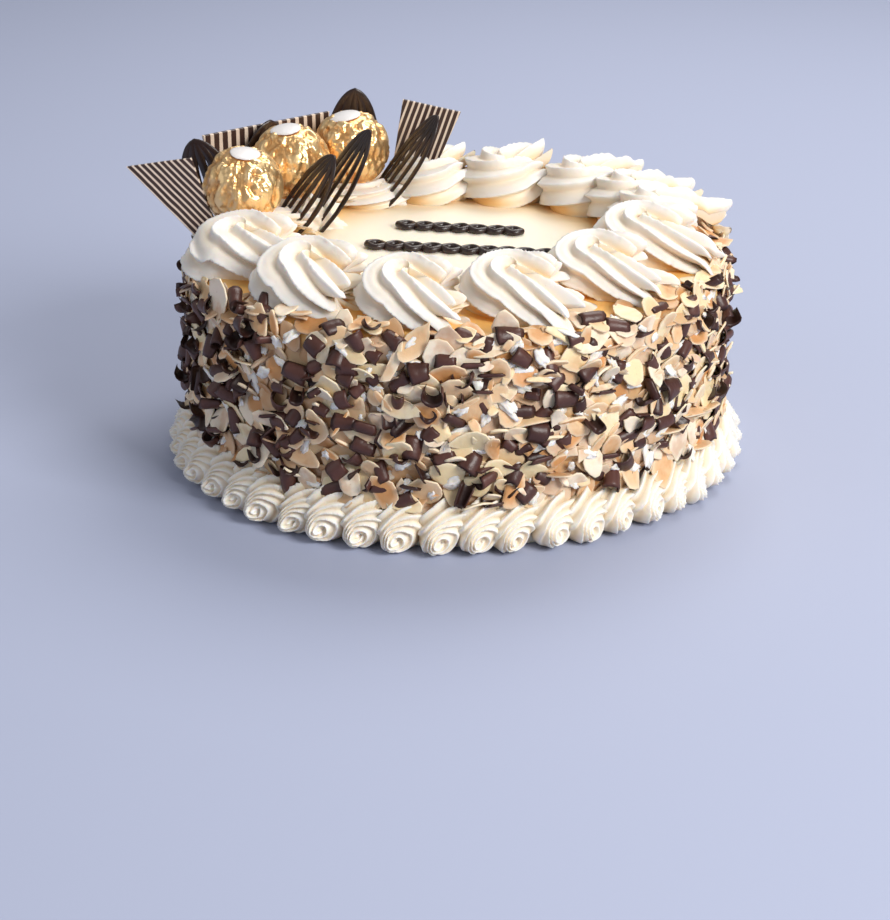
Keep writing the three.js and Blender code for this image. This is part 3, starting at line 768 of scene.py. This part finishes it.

# %% [markdown]
# ## Roasted almond
#
# Each flake has its own roast, from pale cream to caramel. The rule gave it a number, and that
# picks the tone, so no picture of almonds is needed. Fine fibres, toasted spots and dark specks lie
# over it, the cut rim is pale, and flakes that lie deep in the coat are darker, partly soaked and
# partly as painted shade.

# %% Almond
almond, tree, shader = new_finish("almond", Roughness=0.45, Subsurface_Weight=0.08,
                                  Subsurface_Scale=0.002)
place = object_place(tree)
fibres = uneven(place, 260.0, 4.0)
tone = held(trait(tree, "tint") + fibres * 0.12)
inside = colour_mix(ramp(tone, 0.05, 0.3), (0.68, 0.32, 0.11), (0.82, 0.54, 0.30))
inside = colour_mix(ramp(tone, 0.4, 0.6), inside, (0.87, 0.69, 0.40))
inside = colour_mix(ramp(tone, 0.65, 0.85), inside, (0.93, 0.79, 0.62))
toasted = ramp(uneven(place, 95.0, 3.0) + trait(tree, "tint") * 0.3, 0.15, 0.5)
inside = colour_mix(toasted * 0.5, inside, (0.58, 0.28, 0.11))
speck = ramp(uneven(place, 600.0, 2.0), 0.35, 0.6)
inside = colour_mix(speck * 0.3, inside, (0.50, 0.26, 0.12))
inside = colour_mix(trait(tree, "rim") * 0.75, inside, (0.92, 0.79, 0.58))
# Flakes deep in the coat are darker: partly soaked, partly painted shade.
inside = colour_mix(trait(tree, "deep") * 0.6, inside, (0.42, 0.18, 0.05))
plug(tree, inside, shader.inputs["Base Color"])
bumpy(shader, fibres, 0.0003, 0.7)

# %% Flakes and slivers
SLIVERS = {"Count": 420, "Length": 12.0, "Width": 3.4, "Thickness": 1.1, "Stand off": 4.2,
           "Tip": 0.8, "Seed": 14}
grow("almond_flakes", flake_rule, almond, "coat", ["cake_body"])
grow("almond_slivers", flake_rule, almond, "coat", ["cake_body"], **SLIVERS)

# %% [markdown]
# ## Chocolate curls
#
# A curl is a shaving that rolled up as it was cut. Its section is an open loop with a thin wall. A
# bent plane with a Solidify modifier would do for one, but five hundred are easier as a rule that
# goes out along the outer face and back along the inner one, and pinches the ends. They fall in
# small clumps.

# %% The section of a curl
CURL_POINTS = 26
curl_rule, at = new_rule("curls", **{
    "Count": 500, "Length": 9.4, "Radius": 4.0, "Wall": 0.8, "Low": 19.0, "High": 86.0, "Seed": 8})
sheet, around, along, number = dough(curl_rule, CURL_POINTS, 6, at["Count"])
odd = dice(curl_rule, number)
there = 1.0 - size_of(around * 2.0 - 1.0)
outer = above(0.5, around)
side = along * 2.0 - 1.0
face = sign_of(0.5 - around) * root(held(sine(there * math.pi) * 3.0))
pinch = root(held(1.0 - size_of(side) ** 8.0))
sweep = odd(1, 2.4, 4.6) + above(odd(8, 0.0, 1.0), 0.8) * 2.0
cone = 1.0 + side * odd(9, -0.25, 0.25)
radius = at["Radius"] * odd(2, 0.6, 1.2) * (1.0 - 0.085 * there * sweep) * cone
radius = radius + face * at["Wall"] * 0.5 * pinch
print("a curl has", CURL_POINTS, "points round its section")

# %% Where the curls stick
arc = (there - 0.5) * sweep
ragged = uneven(vector(there * 2.5, along * 3.0, number * 2.3)) * 0.3
free_edge = size_of(there * 2.0 - 1.0) ** 6.0
a = side * 0.5 * at["Length"] * odd(3, 0.6, 1.15) * (1.0 + ragged) * (1.0 - 0.22 * free_edge)
b = radius * sine(arc)
c = radius * cosine(arc) - at["Radius"] * 0.45
turn, way_up = on_side(number, at["Seed"], -0.2, at["Low"], at["High"], 0.13)
flip = odd(4, -0.8, 0.8) + above(odd(6, 0.0, 1.0), 0.66) * 2.2
off = 2.4 + odd(7, -1.0, 1.7)
place = stand_on_side(turn, way_up, off, a, b, c, odd(5, 0.0, ANY_TURN), flip)
bake_rule(curl_rule, at, sheet, place, tint=odd(11, 0.0, 1.0), inside=1.0 - outer)

# %% Shaved chocolate
shaving, tree, shader = new_finish("shaved_chocolate", Specular_IOR_Level=0.45)
place = object_place(tree)
bloom = uneven(place, 150.0, 4.0)
tone = held(trait(tree, "tint") * 0.6 + bloom * 0.5 + 0.15)
skin = colour_mix(tone, (0.040, 0.013, 0.009), (0.120, 0.044, 0.032))
# Painted shade: the inner face of each curl is painted darker, as the inside of the roll lies in
# shade.
skin = colour_mix(trait(tree, "inside") * 0.75, skin, (0.018, 0.006, 0.004))
plug(tree, skin, shader.inputs["Base Color"])
plug(tree, 0.40 + bloom * 0.14, shader.inputs["Roughness"])
bumpy(shader, uneven(place, 420.0, 3.0), 0.0002, 0.6)
grow("chocolate_curls", curl_rule, shaving, "coat", ["cake_body"])

# %% [markdown]
# ## Cream smears between the nuts
#
# Here and there the cream squeezed out between the nuts and dried in small bright peaks. The body
# could be pushed out there, but small loose lumps, flattened against the side, have crisper edges
# and can lie over a nut as well as between two.

# %% Cream smears
smear_rule, at = new_rule("smears", **{
    "Count": 440, "Size": 3.0, "Low": 19.0, "High": 82.0, "Seed": 2})
sheet, around, along, number = dough(smear_rule, 16, 10, at["Count"])
odd = dice(smear_rule, number)
a, b, c = unit_ball(around * FULL_TURN, along * math.pi)
lump = 1.0 + uneven(vector(a * 1.5 + number, b * 1.5, c * 1.5), 1.0, 3.0) * 1.3
lump = most(lump, 0.15)
size = at["Size"] * odd(1, 0.4, 1.2) * lump
turn, way_up = on_side(number, at["Seed"], 0.12, at["Low"], at["High"])
off = 1.0 + odd(2, -0.6, 1.8)
place = stand_on_side(turn, way_up, off, a * size * odd(3, 0.8, 2.0), b * size * 0.65,
                      c * size * 0.3, odd(4, 0.0, ANY_TURN), odd(5, -0.6, 0.6))
# Painted shade where a lump dips in.
bake_rule(smear_rule, at, sheet, place, hollow=held(1.1 - lump))
smear_cream = cream_finish("smear_cream", (0.95, 0.91, 0.85), (0.88, 0.72, 0.50), 0.2)
grow("cream_smears", smear_rule, smear_cream, "coat", ["cake_body"])

# %% [markdown]
# ## Foil balls
#
# Each wrapped chocolate is a ball in gold foil, crumpled by hand. Creases are sharp and the foil
# between them is nearly flat. A soft noise would look like clay. Distance measured in steps along
# the axes, to the nearest of many scattered points, makes small flat-sided pyramids, and one such
# field taken from another gives folds both in and out. Pleats gather the foil lower down, and under
# the label it is pressed smooth.

# %% Crumpled foil
foil_rule, at = new_rule("foil", **{"Radius": 15.9, "Crumple": 1.0, "Seed": 1})
sheet, around, along, _ = dough(foil_rule, 180, 110)
angle, polar = around * FULL_TURN, along * math.pi
a, b, c = unit_ball(angle, polar)
shift = at["Seed"] * 3.7
pleat = uneven(vector(cosine(angle) * 4.2 + shift, sine(angle) * 4.2, polar * 1.3), 1.0, 1.0)
pleat = size_of(pleat)
fold = facets(vector(a * 2.5, b * 2.5 + shift, c * 1.6))
fold = fold - facets(vector(a * 2.9, b * 2.9, c * 1.9 - shift))
crinkle = facets(vector(a * 5.6, b * 5.6, c * 3.2 + shift))
crinkle = crinkle - facets(vector(a * 6.6 - shift, b * 6.6, c * 3.8))
under_label = 1.0 - ramp(polar, 0.32, 0.6)
relief = pleat * 2.8 * ramp(polar, 1.0, 2.0) + fold * 1.6 + crinkle * 0.7 - 0.1
relief = relief * (1.0 - under_label) - under_label * 0.6
radius = at["Radius"] + held(relief * at["Crumple"], -1.2, 0.6)
place = millimetres(a * radius, b * radius, c * radius)
bake_rule(foil_rule, at, sheet, place, hollow=ramp(-relief, -0.6, 1.2))

# %% Gold foil
gold_foil, tree, shader = new_finish("gold_foil", Metallic=0.9, Roughness=0.3)
place = object_place(tree)
worn = uneven(place, 90.0, 3.0) * 0.5 + 0.5
# Painted shade: dents and creases turn the gold darker and warmer, and a random worn tone varies
# it.
depth = held(trait(tree, "hollow") + worn * 0.2)
plug(tree, colour_mix(depth, (1.0, 0.71, 0.36), (0.88, 0.48, 0.18)), shader.inputs["Base Color"])
plug(tree, 0.25 + worn * 0.17, shader.inputs["Roughness"])
bumpy(shader, facets(place, 330.0), 0.0006, 0.3)

# %% Three balls
BALL_LEAN = 0.12  # towards the front, in radians
BALLS = [(-86.5, 16, 104.5), (-68.8, 47, 106), (-44.6, 72, 105)]
SEATS = [Matrix.Translation(Vector(middle) * MM) @ Matrix.Rotation(BALL_LEAN, 4, "X")
         for middle in BALLS]
for i, seat in enumerate(SEATS):
    grow(f"gold_ball_{i + 1}", foil_rule, gold_foil, "foil", [f"foil_ball_{i + 1}"],
         turn=seat, Seed=i + 1)

# %% [markdown]
# ## Bare oval labels
#
# A small paper oval sits on the crown of each ball. It follows the ball, so it is domed, and its
# edge wavers because it was pressed on foil that isn't smooth. A disc with a bevel would stay flat,
# so a rule bends the sheet into a thin closed cushion. The ovals are left bare.

# %% Oval labels
LABEL_RAISED = 0.35  # from the label's own origin up to its middle
LABEL_SEAT = 15.55  # from the middle of the ball up to the middle of the label
label_rule, at = new_rule("label", **{
    "Width": 12.4, "Depth": 13.6, "Thickness": 0.5, "Dome": 0.026})
sheet, around, along, _ = dough(label_rule, 64, 24)
angle = around * FULL_TURN
across = held(sine(along * math.pi) * 1.12) ** 0.8
waver = 1.0 + uneven(vector(cosine(angle) * 1.5, sine(angle) * 1.5, 0.0)) * 0.08
a = across * cosine(angle) * at["Width"] * 0.5 * waver
b = across * sine(angle) * at["Depth"] * 0.5 * waver
rounded = root(held(1.0 - across ** 10.0))
c = sign_of(0.5 - along) * rounded * at["Thickness"] * 0.5 - at["Dome"] * (a * a + b * b)
bake_rule(label_rule, at, sheet, millimetres(a, b, c + LABEL_RAISED), rim=across ** 12.0)

# %% White paper
white_label, tree, shader = new_finish("white_label", Roughness=0.4, Coat_Weight=0.2)
tint = uneven(object_place(tree), 300.0, 3.0) * 0.5 + 0.5
# A random grey tint, and painted shade that darkens the label towards its rim.
tint = tint * 0.4 + trait(tree, "rim") * 0.3
plug(tree, colour_mix(tint, (0.82, 0.80, 0.80), (0.66, 0.60, 0.55)), shader.inputs["Base Color"])
bumpy(shader, uneven(object_place(tree), 500.0, 2.0), 0.00008, 0.5)
LABEL_TILTS = (0.1, -0.13, -0.16)
for i, (seat, tilt) in enumerate(zip(SEATS, LABEL_TILTS)):
    seat = seat @ Matrix.Rotation(tilt, 4, "Y") @ Matrix.Rotation(i * 0.9, 4, "Z")
    seat = seat @ Matrix.Translation((0, 0, (LABEL_SEAT - LABEL_RAISED) * MM))
    grow(f"oval_label_{i + 1}", label_rule, white_label, "label", [f"ball_label_{i + 1}"],
         turn=seat)

# %% [markdown]
# ## Chocolate petals
#
# A petal is piped dark chocolate: five ribs that start side by side and meet in a point. It set on
# a flat sheet, so it is thin, and its ribs are wider than they are deep. Curves with a bevel could
# draw the ribs, but their ends and their flat section would need work on each. Here each rib is a
# flattened tube whose middle line is a share of the same pointed arch.

# %% The ribs of a petal
petal_rule, at = new_rule("petal", **{"Length": 40.0, "Width": 26.0, "Ribs": 5, "Rib": 3.0,
                                      "Thickness": 1.2, "Bow": 0.012, "Seed": 1})
sheet, around, along, number = dough(petal_rule, 12, 44, at["Ribs"])
angle = around * FULL_TURN
share, _, _, closing = lay_along(along, 0.03)
arch = held(1.0 - share ** 2.6) ** 0.56 * (1.0 - 0.3 * (1.0 - share) ** 3.0)
half = at["Width"] * 0.5 * arch
rib_share = number / (at["Ribs"] - 1.0) * 2.0 - 1.0
waver = uneven(vector(share * 4.0, number * 3.3 + at["Seed"], 0.0))
bar = at["Rib"] * (0.7 + 0.33 * ramp(share, 0.0, 0.6) + 0.12 * rib_share * rib_share)
swelling = uneven(vector(share * 9.0, number * 9.1 + at["Seed"], 2.0))
bar = least(bar * (1.0 + 0.12 * swelling), half * 2.0 + 0.9)
middle_x = rib_share * most(half - bar * 0.5, 0.0) + waver * 0.2
a = middle_x + bar * 0.5 * cosine(angle) * closing
b = share * at["Length"] + (1.0 - size_of(rib_share)) * -1.5 * (1.0 - share)
c = at["Thickness"] * 0.5 * sine(angle) * closing - at["Bow"] * middle_x * middle_x
bake_rule(petal_rule, at, sheet, millimetres(a, b, c))

# %% Dark chocolate
dark_chocolate, tree, shader = new_finish("dark_chocolate", Roughness=0.3, Specular_IOR_Level=0.55)
place = object_place(tree)
bloom = uneven(place, 160.0, 4.0) * 0.5 + 0.5
shade = colour_mix(bloom, (0.012, 0.006, 0.005), (0.034, 0.016, 0.013))
plug(tree, shade, shader.inputs["Base Color"])
plug(tree, 0.24 + bloom * 0.16, shader.inputs["Roughness"])
bumpy(shader, uneven(place, 300.0, 2.0), 0.0002, 0.5)

# %% Six petals
# Each row: foot, tip, the way that the front faces, and the width of a rib.
PETALS = [((-97, 34, 84), (-107.5, 33, 119.5), (-0.2, -1, 0.1), 3.6),
          ((-82.5, 61.5, 84), (-78, 63, 119.5), (0.6, -0.8, 0), 3.6),
          ((-46, 92, 84), (-43.3, 91, 126), (0.1, -1, 0), 3.6),
          ((-71.7, 23, 84), (-49.2, 21, 115.8), (-0.71, -0.51, 0.47), 2.8),
          ((-60.7, 29, 84), (-34.7, 26, 125.1), (-0.76, -0.46, 0.45), 2.8),
          ((-34, 63, 84), (-7.4, 59, 122.3), (-0.77, -0.38, 0.52), 2.8)]
for i, (foot, tip, facing, rib) in enumerate(PETALS):
    up = Vector(tip) - Vector(foot)
    length = up.length
    up.normalize()
    front = Vector(facing)
    front = (front - up * front.dot(up)).normalized()
    right = up.cross(front)
    stand = Matrix((right, up, front)).transposed().to_4x4()
    stand.translation = Vector(foot) * MM
    grow(f"petal_{i + 1}", petal_rule, dark_chocolate, "chocolate", [f"chocolate_petal_{i + 1}"],
         turn=stand, Length=length, Rib=rib, Seed=i + 1)

# %% [markdown]
# ## Striped panels
#
# The panels are thin plates of dark chocolate with white chocolate combed through it in narrow
# stripes. A pattern on object coordinates would cut through the plates at odd angles. So each plate
# gets its own map in millimetres, how far across and how far down, and the finish turns those into
# stripes at the plate's own angle.

# %% A bowed sheet between four corners
PANEL_THICKNESS = 1.6
PANEL_EDGE = 0.3
PANEL_BOW = 0.35
PANEL_STEPS = 30
# Each row: four corners from the upper left round, the stripes' slant in degrees, and their period.
PANELS = [([(-132.2, 8, 115), (-106, 8, 118.6), (-95.5, 8, 84), (-106.2, 8, 86.5)], -38.0, 2.3),
          ([(-105.3, 48, 116.8), (-54.8, 88, 116.8), (-59.3, 84.5, 84), (-100.8, 51.6, 84)],
           0.0, 4.3),
          ([(-22.4, 74, 125.6), (2.2, 74, 120.2), (-14, 74, 84), (-29, 74, 84)], 8.0, 2.5)]


def bowed_sheet(corners, number):
    """A sheet without thickness that carries its own map, across and down, on its points."""
    a, b, c, d = (Vector(corner) for corner in corners)
    out = (b - a).cross(d - a).normalized()
    work = bmesh.new()
    across = work.verts.layers.float.new("across")
    down = work.verts.layers.float.new("down")
    rows = []
    for j in range(PANEL_STEPS + 1):
        fall = j / PANEL_STEPS
        left, right = a.lerp(d, fall), b.lerp(c, fall)
        rows.append([])
        for k in range(PANEL_STEPS + 1):
            way = k / PANEL_STEPS
            spot = left.lerp(right, way)
            spot += out * PANEL_BOW * math.sin(3.1 * way + number) * math.sin(2.2 * fall + 1)
            vert = work.verts.new(spot * MM)
            vert[across] = (spot - a).dot((b - a).normalized())
            vert[down] = -(spot - a).z
            rows[-1].append(vert)
    for upper, lower in zip(rows, rows[1:]):
        for k in range(PANEL_STEPS):
            work.faces.new((upper[k], lower[k], lower[k + 1], upper[k + 1]))
    mesh = bpy.data.meshes.new("panel")
    work.to_mesh(mesh)
    work.free()
    return mesh


print("panels:", len(PANELS), "each", PANEL_THICKNESS, "mm thick")

# %% Striped chocolate
NARROW = 3.0  # stripes with a shorter period than this show less white


def striped_finish(name, slant, period):
    """Stripes at a slant from upright, in degrees, and a period in millimetres."""
    made, tree, shader = new_finish(name, Roughness=0.34)
    across, down = trait(tree, "across"), trait(tree, "down")
    slope = math.radians(slant)
    sway = uneven(vector(across * 0.08, down * 0.05, 0.0), 1.0, 2.0) * 0.35
    line = (across * math.cos(slope) + down * math.sin(slope) + sway) * (FULL_TURN / period)
    stripe = ramp(cosine(line), 0.25 if period < NARROW else 0.1, 0.55)
    cloud = uneven(object_place(tree), 150.0, 3.0) * 0.5 + 0.5
    pale = colour_mix(cloud, (0.78, 0.66, 0.54), (0.66, 0.52, 0.41))
    dark = colour_mix(cloud, (0.030, 0.014, 0.011), (0.060, 0.030, 0.024))
    plug(tree, colour_mix(stripe, dark, pale), shader.inputs["Base Color"])
    bumpy(shader, stripe * 0.6 + cloud * 0.4, 0.00015, 0.6)
    return made


# %% Three striped plates
for i, (corners, slant, period) in enumerate(PANELS):
    mesh = bowed_sheet(corners, i)
    mesh.materials.append(striped_finish(f"striped_chocolate_{i + 1}", slant, period))
    plate = bpy.data.objects.new("plate", mesh)
    scene.collection.objects.link(plate)
    wall = plate.modifiers.new("wall", "SOLIDIFY")
    wall.thickness = PANEL_THICKNESS * MM
    wall.offset = 0
    edge = plate.modifiers.new("edge", "BEVEL")
    edge.width = PANEL_EDGE * MM
    edge.segments = 2
    edge.limit_method = "ANGLE"
    graph = bpy.context.evaluated_depsgraph_get()
    solid = bpy.data.meshes.new_from_object(plate.evaluated_get(graph), depsgraph=graph)
    bpy.data.objects.remove(plate)
    settle(f"striped_plate_{i + 1}", solid, [f"striped_panel_{i + 1}"])

# %% [markdown]
# ## Piped twists on top
#
# Two rows of melted chocolate are piped across the top: two wavy strands that cross again and
# again. A bevelled curve would leave a round tube that only touches the cream. The rule flattens
# each strand underneath, lets one climb over the other where they cross, and makes it a little
# thicker where the hand slowed down.

# %% The strands of a twist
STRAND_FLAT = 0.8  # how far down from its middle a strand is cut flat, as a share of its radius
twist_rule, at = new_rule("twist", **{
    "From X": 0.0, "From Y": 0.0, "To X": 1.0, "To Y": 0.0, "Swing": 3.0, "Waves": 4.0,
    "Strand": 1.35, "Seed": 1})
sheet, around, along, number = dough(twist_rule, 12, 150, 2)
angle = around * FULL_TURN
share, _, _, closing = lay_along(along, 0.015)
way_x, way_y = at["To X"] - at["From X"], at["To Y"] - at["From Y"]
length = root(way_x * way_x + way_y * way_y)
wave = at["Waves"] * FULL_TURN
wander = uneven(vector(share * 3.0, number, at["Seed"] * 1.7))
phase = share * wave + number * math.pi + 0.4 * wander
slope = cosine(phase) * at["Swing"] * wave / length
lengthen = root(slope * slope + 1.0)
swelling = uneven(vector(share * 12.0, number * 4.0, at["Seed"] * 2.3))
thick = at["Strand"] * (1.0 + 0.2 * swelling) * closing
offset = thick * cosine(angle)
aside = at["Swing"] * sine(phase) + offset / lengthen
ahead = share * length - offset * slope / lengthen
x = at["From X"] + (ahead * way_x - aside * way_y) / length
y = at["From Y"] + (ahead * way_y + aside * way_x) / length
crossing = cosine(phase) * (0.5 - number) * 0.5
flat = at["Strand"] * STRAND_FLAT
z = CAKE_HEIGHT + 0.2 + flat + most(thick * sine(angle), -flat) + most(crossing, 0.0)
bake_rule(twist_rule, at, sheet, millimetres(x, y, z))

# %% Two twists
# Each row: start, end, swing to either side, and the number of waves.
TWISTS = [((-24, 27), (27, 18), 2.8, 3.5), ((-36, 1), (39, -12), 3.1, 5.0)]
for i, ((from_x, from_y), (to_x, to_y), swing, waves) in enumerate(TWISTS):
    grow(f"chocolate_twist_{i + 1}", twist_rule, dark_chocolate, "chocolate",
         [f"piped_twist_{i + 1}"],
         **{"From X": float(from_x), "From Y": float(from_y), "To X": float(to_x),
            "To Y": float(to_y), "Swing": swing, "Waves": waves, "Seed": i + 1})

# %% [markdown]
# ## Cream dabs that hold the chocolate
#
# Petals and plates don't stand by themselves: a dab of cream holds them. It is a plain heap, so a
# ball that swells and shrinks with a soft noise, cut flat where it meets the top, is enough. Its
# inputs set how wide, deep and tall it is, and its hollows get the same warm painted shade as the
# ropes.

# %% Cream dabs
dab_rule, at = new_rule("dab", **{
    "X": 0.0, "Y": 0.0, "Wide": 10.0, "Deep": 8.0, "Tall": 8.0, "Seed": 1})
sheet, around, along, _ = dough(dab_rule, 64, 40)
a, b, c = unit_ball(around * FULL_TURN, along * math.pi)
lump = 1.0 + uneven(vector(a * 2.4 + at["Seed"] * 3.3, b * 2.4, c * 1.6), 1.0, 2.0) * 0.75
x, y = at["X"] + a * lump * at["Wide"], at["Y"] + b * lump * at["Deep"]
z = CAKE_HEIGHT - SUNK + most(c * lump * at["Tall"], 0.0)
# Painted shade where the heap dips in, as on the ropes.
bake_rule(dab_rule, at, sheet, millimetres(x, y, z), hollow=0.9 - lump * 0.6)
DABS = [(-60, 30, 13, 8.5, 11), (-31, 62, 9, 6.5, 9)]
for i, (x, y, wide, deep, tall) in enumerate(DABS):
    grow(f"cream_dollop_{i + 1}", dab_rule, piped_cream, "cream", [f"cream_dab_{i + 1}"],
         **{"X": float(x), "Y": float(y), "Wide": float(wide), "Deep": float(deep),
            "Tall": float(tall), "Seed": i + 1})
